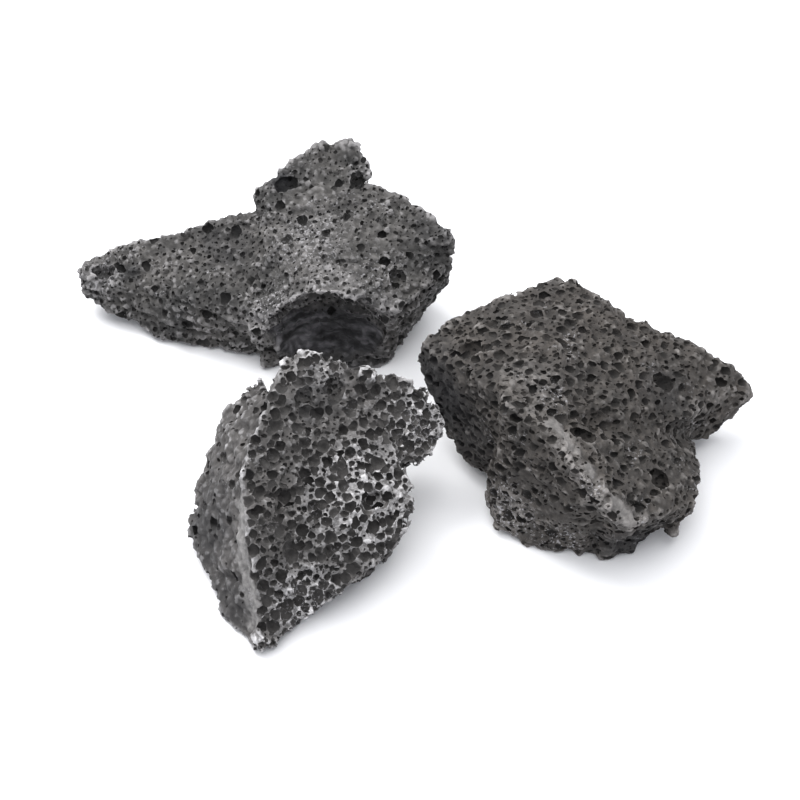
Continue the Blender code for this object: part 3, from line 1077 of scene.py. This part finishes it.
pitted_rock = make_rock(
    "pitted_stone",
    pitted_basalt,
    bump_size=4.2 * MM,
    bump_height=2.9 * MM,
    bead_height=1.1 * MM,
    big_spacing=2.1 * MM,
    big_least=0.7 * MM,
    big_most=1.75 * MM,
    middle_spacing=1.3 * MM,
    middle_least=0.35 * MM,
    middle_most=0.7 * MM,
    quiet_side=(-0.8, -0.15, 0.45),
    quiet_from=0.72,
    calm_share=0.5,
    band_start=(-37 * MM, -40 * MM, 24 * MM),
    band_end=(-35 * MM, -60 * MM, 6 * MM),
    band_reach=2.6 * MM,
    band_relief=0.5,
    seed=5,
)

# %% [markdown]
# ## The ridged stone
#
# The ridged stone is the darkest and brownest of the three. Its bubbles were drawn out a
# little by the flow. A sharp ridge, rubbed pale, runs down from its top to the lip over its
# front, and the side below the ridge and the end beside it are painted dark, partly as shade
# on faces turned from the light and partly as darker rock.

# %% The ridged stone
ridged_basalt = make_basalt(
    "ridged_stone_basalt",
    dark=(0.034, 0.0305, 0.028),
    cast=(0.060, 0.0525, 0.0465),
    dust_and_highlight=(0.24, 0.225, 0.215),
    pale_places=[
        ((32, -25, 34), 4, 0.8),
        ((36, -31, 31), 5, 1.0),
        ((29, -22, 35), 3, 1.0),
        ((39, -36, 29), 5, 1.0),
        ((43, -40, 25), 6, 1.0),
        ((47, -42, 21), 5, 1.0),
        ((52, -41, 18), 4, 1.0),
        ((24, -31, 8), 8, 0.9),
        ((69, -9, 18), 4, 0.8),
        ((75, -3, 18), 4, 0.8),
        ((28, -14, 35), 9, 0.5),
    ],
    # painted shade on the side below the ridge and the end beside it, and darker rock there
    dark_and_shaded_places=[
        ((8, -2, 18), 15, 0.75),
        ((9, -5, 23), 8, 0.5),
        ((16, -12, 12), 12, 0.5),
        ((52, -36, 6), 11, 0.6),
        ((60, -8, 26), 8, 0.35),
    ],
    fleck_places=[
        ((23, -31, 8), 10, 1.0),
        ((36, -36, 5), 8, 0.8),
        ((41, -38, 27), 4, 1.0),
        ((34, -18, 33), 5, 0.8),
    ],
    rim_paleness=0.6,
    film_share=0.7,
    band_colour=(0.19, 0.18, 0.172),
    depth_shade=0.5,
    layering=0.2,
)
ridged_rock = make_rock(
    "ridged_stone",
    ridged_basalt,
    bump_height=2.4 * MM,
    bead_height=1.1 * MM,
    ledge_height=1.6 * MM,
    big_spacing=2.9 * MM,
    big_least=0.6 * MM,
    big_most=1.4 * MM,
    middle_spacing=1.9 * MM,
    middle_least=0.35 * MM,
    middle_most=0.65 * MM,
    stretch=(1.3, 1.0, 0.85),
    band_start=(33 * MM, -26 * MM, 33 * MM),
    band_end=(50 * MM, -42 * MM, 19 * MM),
    band_reach=2.0 * MM,
    band_relief=0.5,
    seed=8,
)

# %% [markdown]
# ## Each stone goes where its solid goes
#
# The three stones are loose: each can be picked up by itself. So each rock rides on its own
# body of the frame, stands in for that body's plain solid, and carries the finish made for it.

# %% Riding on the frame
for node_name, rock in {
    "long_stone": long_rock,
    "pitted_stone": pitted_rock,
    "ridged_stone": ridged_rock,
}.items():
    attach(rock, node_name)
    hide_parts(node_name)
    print(rock.name, "rides on", node_name)

# %% [markdown]
# ## The floor
#
# Dark stone is shown on something plain and pale. One large square at height zero is enough,
# and a rough, nearly white finish keeps reflections out of it.

# %% The floor
FLOOR_HALF = 3
FLOOR_COLOUR = (0.9, 0.9, 0.91, 1)


def make_floor():
    mesh = bpy.data.meshes.new("floor")
    sheet = bmesh.new()
    bmesh.ops.create_grid(sheet, x_segments=1, y_segments=1, size=FLOOR_HALF)
    sheet.to_mesh(mesh)
    sheet.free()
    floor = bpy.data.objects.new("floor", mesh)
    bpy.context.scene.collection.objects.link(floor)
    material = bpy.data.materials.new("white_floor")
    material.use_nodes = True
    shader = material.node_tree.nodes["Principled BSDF"]
    shader.inputs["Base Color"].default_value = FLOOR_COLOUR
    shader.inputs["Roughness"].default_value = 0.9
    mesh.materials.append(material)


make_floor()
print("the floor is", 2 * FLOOR_HALF, "m wide")

# %% [markdown]
# ## The light
#
# A wide lamp overhead gives the soft, even light in which rough stone is easy to read. A
# smaller one from behind and to the left lets every bubble throw a little shadow, and the
# pale surroundings fill those shadows again.

# %% The light
SKY_COLOUR = (0.93, 0.95, 1.0, 1)
SKY_STRENGTH = 0.75


def add_softbox(name, place, size, watts):
    """A round lamp of the given width in metres, turned towards the stones."""
    light = bpy.data.lights.new(name, "AREA")
    light.shape = "DISK"
    light.size = size
    light.energy = watts
    lamp = bpy.data.objects.new(name, light)
    lamp.location = place
    lamp.rotation_euler = (-Vector(place)).to_track_quat("-Z", "Y").to_euler()
    bpy.context.scene.collection.objects.link(lamp)
    print(name, "lamp:", watts, "W at", place)


add_softbox("overhead", (0.0, 0.15, 1.0), size=1.4, watts=12)
add_softbox("key", (-0.50, 0.45, 0.75), size=0.5, watts=6)
world = bpy.data.worlds.new("studio")
world.use_nodes = True
sky = world.node_tree.nodes["Background"].inputs
sky["Color"].default_value = SKY_COLOUR
sky["Strength"].default_value = SKY_STRENGTH
bpy.context.scene.world = world
bpy.context.scene.view_settings.view_transform = "Standard"

# %% [markdown]
# ## The camera
#
# The camera looks down by fifty degrees, through a long lens that keeps the stones free of
# distortion. Its place follows from the point it aims at, the tilt and the reach.

# %% The camera
CAMERA_TILT = math.radians(50)
CAMERA_REACH = 0.4533
AIM = Vector((-0.00117, -0.00040, 0.012))
camera_data = bpy.data.cameras.new("camera")
camera_data.lens = 85
camera_data.sensor_width = 36
camera_data.clip_start = 0.01
camera = bpy.data.objects.new("camera", camera_data)
back = Vector((0, -math.cos(CAMERA_TILT), math.sin(CAMERA_TILT)))
camera.location = AIM + back * CAMERA_REACH
camera.rotation_euler = (-back).to_track_quat("-Z", "Y").to_euler()
bpy.context.scene.collection.objects.link(camera)
bpy.context.scene.camera = camera
print("the camera stands", round(camera.location.z, 3), "m above the floor")
